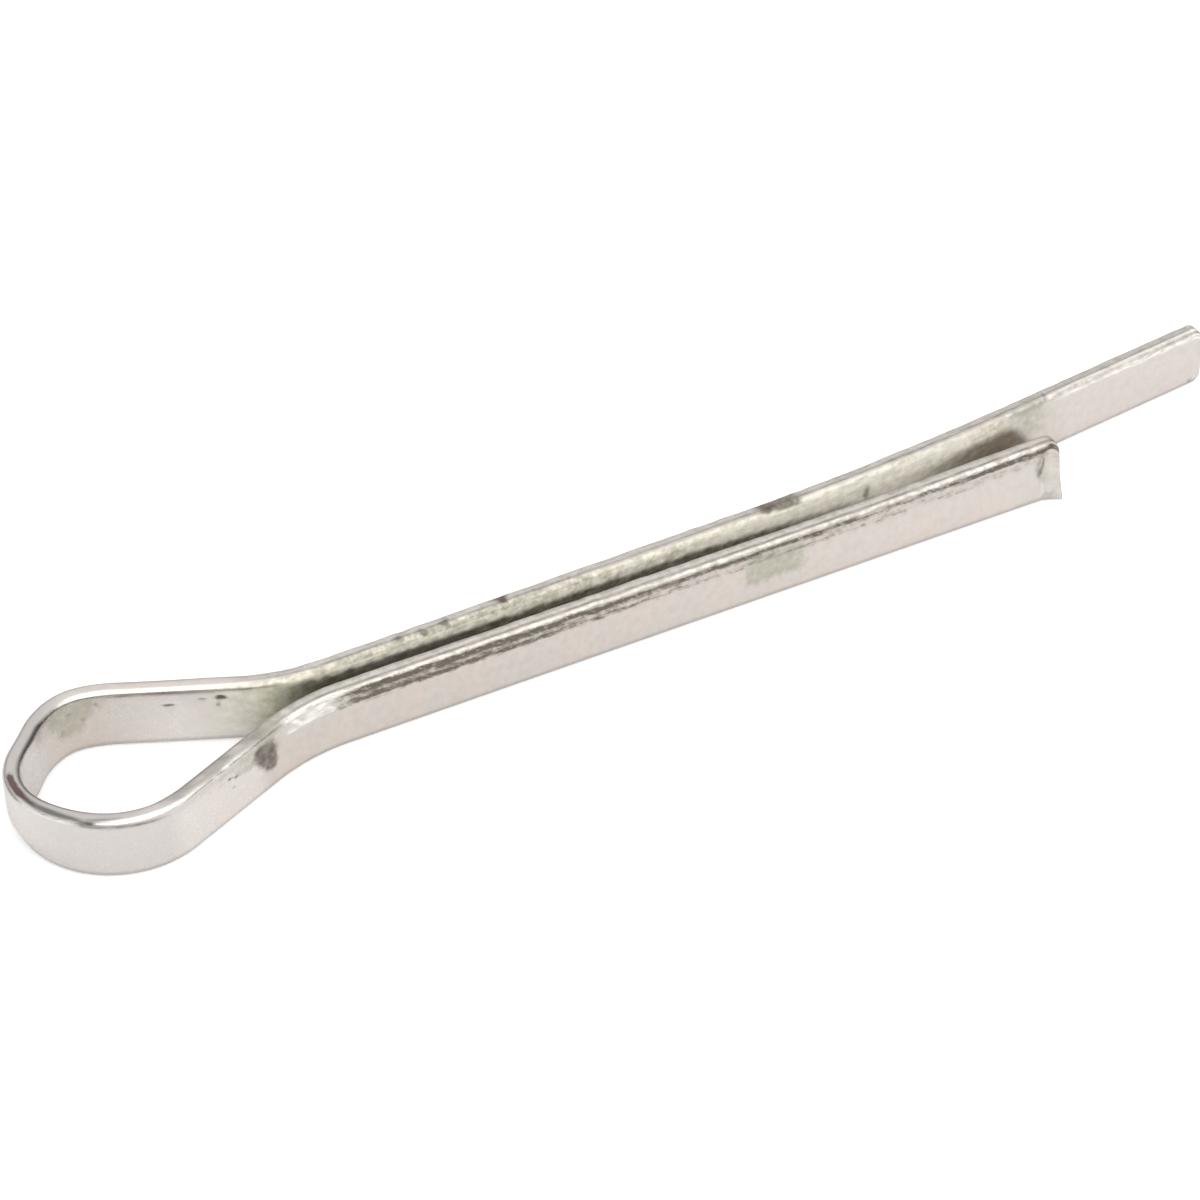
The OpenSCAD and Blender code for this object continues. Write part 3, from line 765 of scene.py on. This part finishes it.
for position, _ in studio["steps"][1:-1]:
    ramp.color_ramp.elements.new(position)
for stop, (position, value) in zip(ramp.color_ramp.elements, studio["steps"]):
    stop.color = (value, value, value, 1)
worldTree.links.new(lowered, ramp.inputs["Fac"])
worldTree.links.new(ramp.outputs["Color"], background.inputs["Color"])
background.inputs["Strength"].default_value = studio["strength"]


def softBox(name, place, target, size, power):  # a rectangular lamp that faces its target
    lamp = bpy.data.lights.new(name, "AREA")
    lamp.shape, lamp.size, lamp.size_y, lamp.energy = "RECTANGLE", size[0], size[1], power
    box = bpy.data.objects.new(name, lamp)
    box.location = place
    box.rotation_euler = (Vector(target) - Vector(place)).to_track_quat("-Z", "Y").to_euler()
    bpy.context.scene.collection.objects.link(box)


softBox("frontBox", **studio["softBox"])
print("floor and studio made")

# Camera: it looks at this point of the pin from this far, both in millimetres, from these angles in degrees
view = dict(aim=(22.015, 2.455, -1.683), distance=230.7, azimuth=26.8, elevation=39.94, roll=-1.24,
            lens=121.8, sensor=36, nearest=0.01, farthest=10)
azimuth, elevation, cameraRoll = (math.radians(view[angle]) for angle in ("azimuth", "elevation", "roll"))
level = Vector((math.cos(azimuth), -math.sin(azimuth), 0))
above = Vector((math.sin(azimuth) * math.sin(elevation), math.cos(azimuth) * math.sin(elevation),
                math.cos(elevation)))
ahead = Vector((math.sin(azimuth) * math.cos(elevation), math.cos(azimuth) * math.cos(elevation),
                -math.sin(elevation)))
right = level * math.cos(cameraRoll) + above * math.sin(cameraRoll)
top = above * math.cos(cameraRoll) - level * math.sin(cameraRoll)
cameraData = bpy.data.cameras.new("camera")
cameraData.lens, cameraData.sensor_width = view["lens"], view["sensor"]
cameraData.clip_start, cameraData.clip_end = view["nearest"], view["farthest"]
camera = bpy.data.objects.new("camera", cameraData)
camera.matrix_world = Matrix((right, top, -ahead)).transposed().to_4x4()
camera.location = Vector(view["aim"]) * mm - ahead * view["distance"] * mm
bpy.context.scene.collection.objects.link(camera)
bpy.context.scene.camera = camera

bpy.context.scene.view_settings.view_transform = "Standard"
